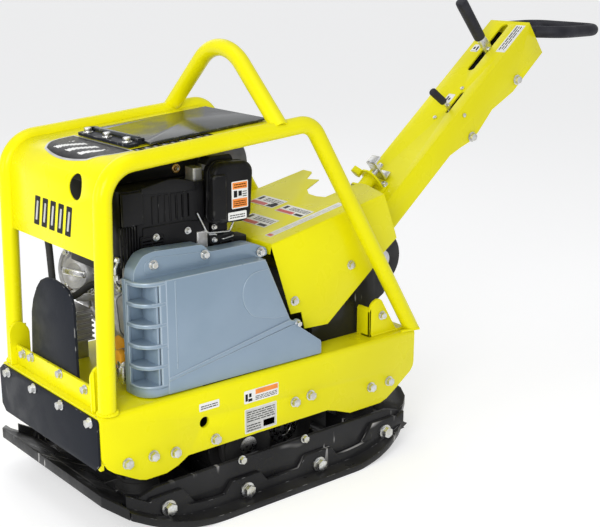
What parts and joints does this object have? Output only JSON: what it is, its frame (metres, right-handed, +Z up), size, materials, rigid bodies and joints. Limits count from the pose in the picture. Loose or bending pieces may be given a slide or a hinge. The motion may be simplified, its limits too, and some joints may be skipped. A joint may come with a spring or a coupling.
{
  "type": "plate compactor",
  "caption": "Reversible plate compactor with boat-shaped sole, tube cage, lifting hoop, diesel engine, belt-driven exciter and hinged handle with levers.",
  "frame": {"origin": "middle of the flat part of the sole, on the ground", "axes": "+X to the rear along the machine, towards the handle; +Z up; -Y is the side with the belt cover"},
  "size_m": [1.522, 0.5, 0.946],
  "materials": {
    "yellow_paint": "gloss",
    "black_plate": "satin",
    "black_iron": "rough",
    "black_panel": "satin",
    "black_rubber": "matte",
    "grip_rubber": "satin",
    "zinc": "bright",
    "bright_steel": "machined",
    "dark_steel": "dull",
    "engine_alloy": "cast",
    "cover_alloy": "painted cast",
    "engine_black": "satin",
    "black_plastic": "moulded",
    "orange_plastic": "gloss",
    "gloss_flap": "high gloss"
  },
  "bodies": {
    "chassis": {"base_plate": "black_plate", "side_shoe_left": "black_plate", "side_shoe_right": "black_plate", "shoe_bolts": "zinc", "exciter_housing": "black_iron", "exciter_covers": "black_iron", "exciter_bearings": "bright_steel", "isolators": "black_rubber", "chassis_frame": "yellow_paint", "crossmembers": "black_plate", "front_panel": "black_panel", "chassis_bolts": "zinc", "cage_left": "yellow_paint", "cage_right": "yellow_paint", "lifting_hoop": "yellow_paint", "leg_brackets": "yellow_paint", "front_cowl": "yellow_paint", "flap_hinge_bar": "black_panel", "front_guard": "black_panel", "crankcase": "engine_alloy", "cylinder_barrel": "engine_black", "rocker_cover": "engine_alloy", "engine_shroud": "engine_black", "flywheel_housing": "engine_alloy", "fuel_tank": "engine_black", "air_cleaner": "black_plastic", "cleaner_clip": "bright_steel", "muffler": "dark_steel", "regulator": "engine_alloy", "oil_cap": "orange_plastic", "fuel_hose": "black_rubber", "drive_belt": "black_rubber", "belt_cover": "cover_alloy", "belt_cover_bolts": "zinc", "battery": "black_plastic", "handle_bracket": "black_plate", "pivot_shaft": "bright_steel", "lock_quadrant": "bright_steel", "rear_hood": "yellow_paint", "hood_bolts": "zinc"},
    "crank": {"crankshaft": "bright_steel", "flywheel": "dark_steel", "clutch_pulley": "dark_steel"},
    "exciter_front": {"exciter_shaft_front": "bright_steel", "exciter_gear_front": "bright_steel", "exciter_pulley": "black_iron"},
    "exciter_rear": {"exciter_shaft_rear": "bright_steel", "exciter_gear_rear": "bright_steel"},
    "flap": {"top_flap": "gloss_flap"},
    "cap": {"fuel_cap": "black_plastic"},
    "handle": {"handle_arm": "yellow_paint", "pivot_tube": "black_plate", "loop_handle": "grip_rubber", "arm_bolts": "zinc", "latch_bracket": "yellow_paint"},
    "latch": {"latch_pin": "zinc"},
    "direction": {"direction_lever": "zinc", "direction_grip": "grip_rubber"},
    "throttle": {"throttle_lever": "zinc", "throttle_grip": "grip_rubber"}
  },
  "joints": [
    {"name": "crank_spin", "type": "hinge", "parent": "chassis", "child": "crank", "pos_m": [-0.11, 0, 0.392], "axis": [0, 1, 0], "continuous": true},
    {"name": "exciter_front_spin", "type": "hinge", "parent": "chassis", "child": "exciter_front", "pos_m": [-0.058, 0, 0.098], "axis": [0, 1, 0], "continuous": true},
    {"name": "exciter_rear_spin", "type": "hinge", "parent": "chassis", "child": "exciter_rear", "pos_m": [0.058, 0, 0.098], "axis": [0, 1, 0], "continuous": true},
    {"name": "flap_hinge", "type": "hinge", "parent": "chassis", "child": "flap", "pos_m": [-0.228, 0, 0.72501], "axis": [0, -1, 0], "range_deg": [0, 8]},
    {"name": "fuel_cap_turn", "type": "hinge", "parent": "chassis", "child": "cap", "pos_m": [-0.15, 0, 0.7], "axis": [0, 0, 1], "range_deg": [0, 90]},
    {"name": "handle_tilt", "type": "hinge", "parent": "chassis", "child": "handle", "pos_m": [0.335, 0, 0.411], "axis": [0, -1, 0], "range_deg": [-30, 30]},
    {"name": "latch_slide", "type": "slide", "parent": "handle", "child": "latch", "axis": [0.7727, 0, 0.6347], "range_m": [-0.01, 0.012], "stiffness_N_per_m": 800},
    {"name": "direction_swing", "type": "hinge", "parent": "handle", "child": "direction", "pos_m": [0.83882, 0, 0.75237], "axis": [0, -1, 0], "range_deg": [-32, 32]},
    {"name": "throttle_swing", "type": "hinge", "parent": "handle", "child": "throttle", "pos_m": [0.68982, 0, 0.63128], "axis": [0, -1, 0], "range_deg": [-30, 0]}
  ],
  "couplings": [
    {"joint": "exciter_front_spin", "follows": "crank_spin", "ratio": 1.147},
    {"joint": "exciter_rear_spin", "follows": "crank_spin", "ratio": -1.147}
  ]
}
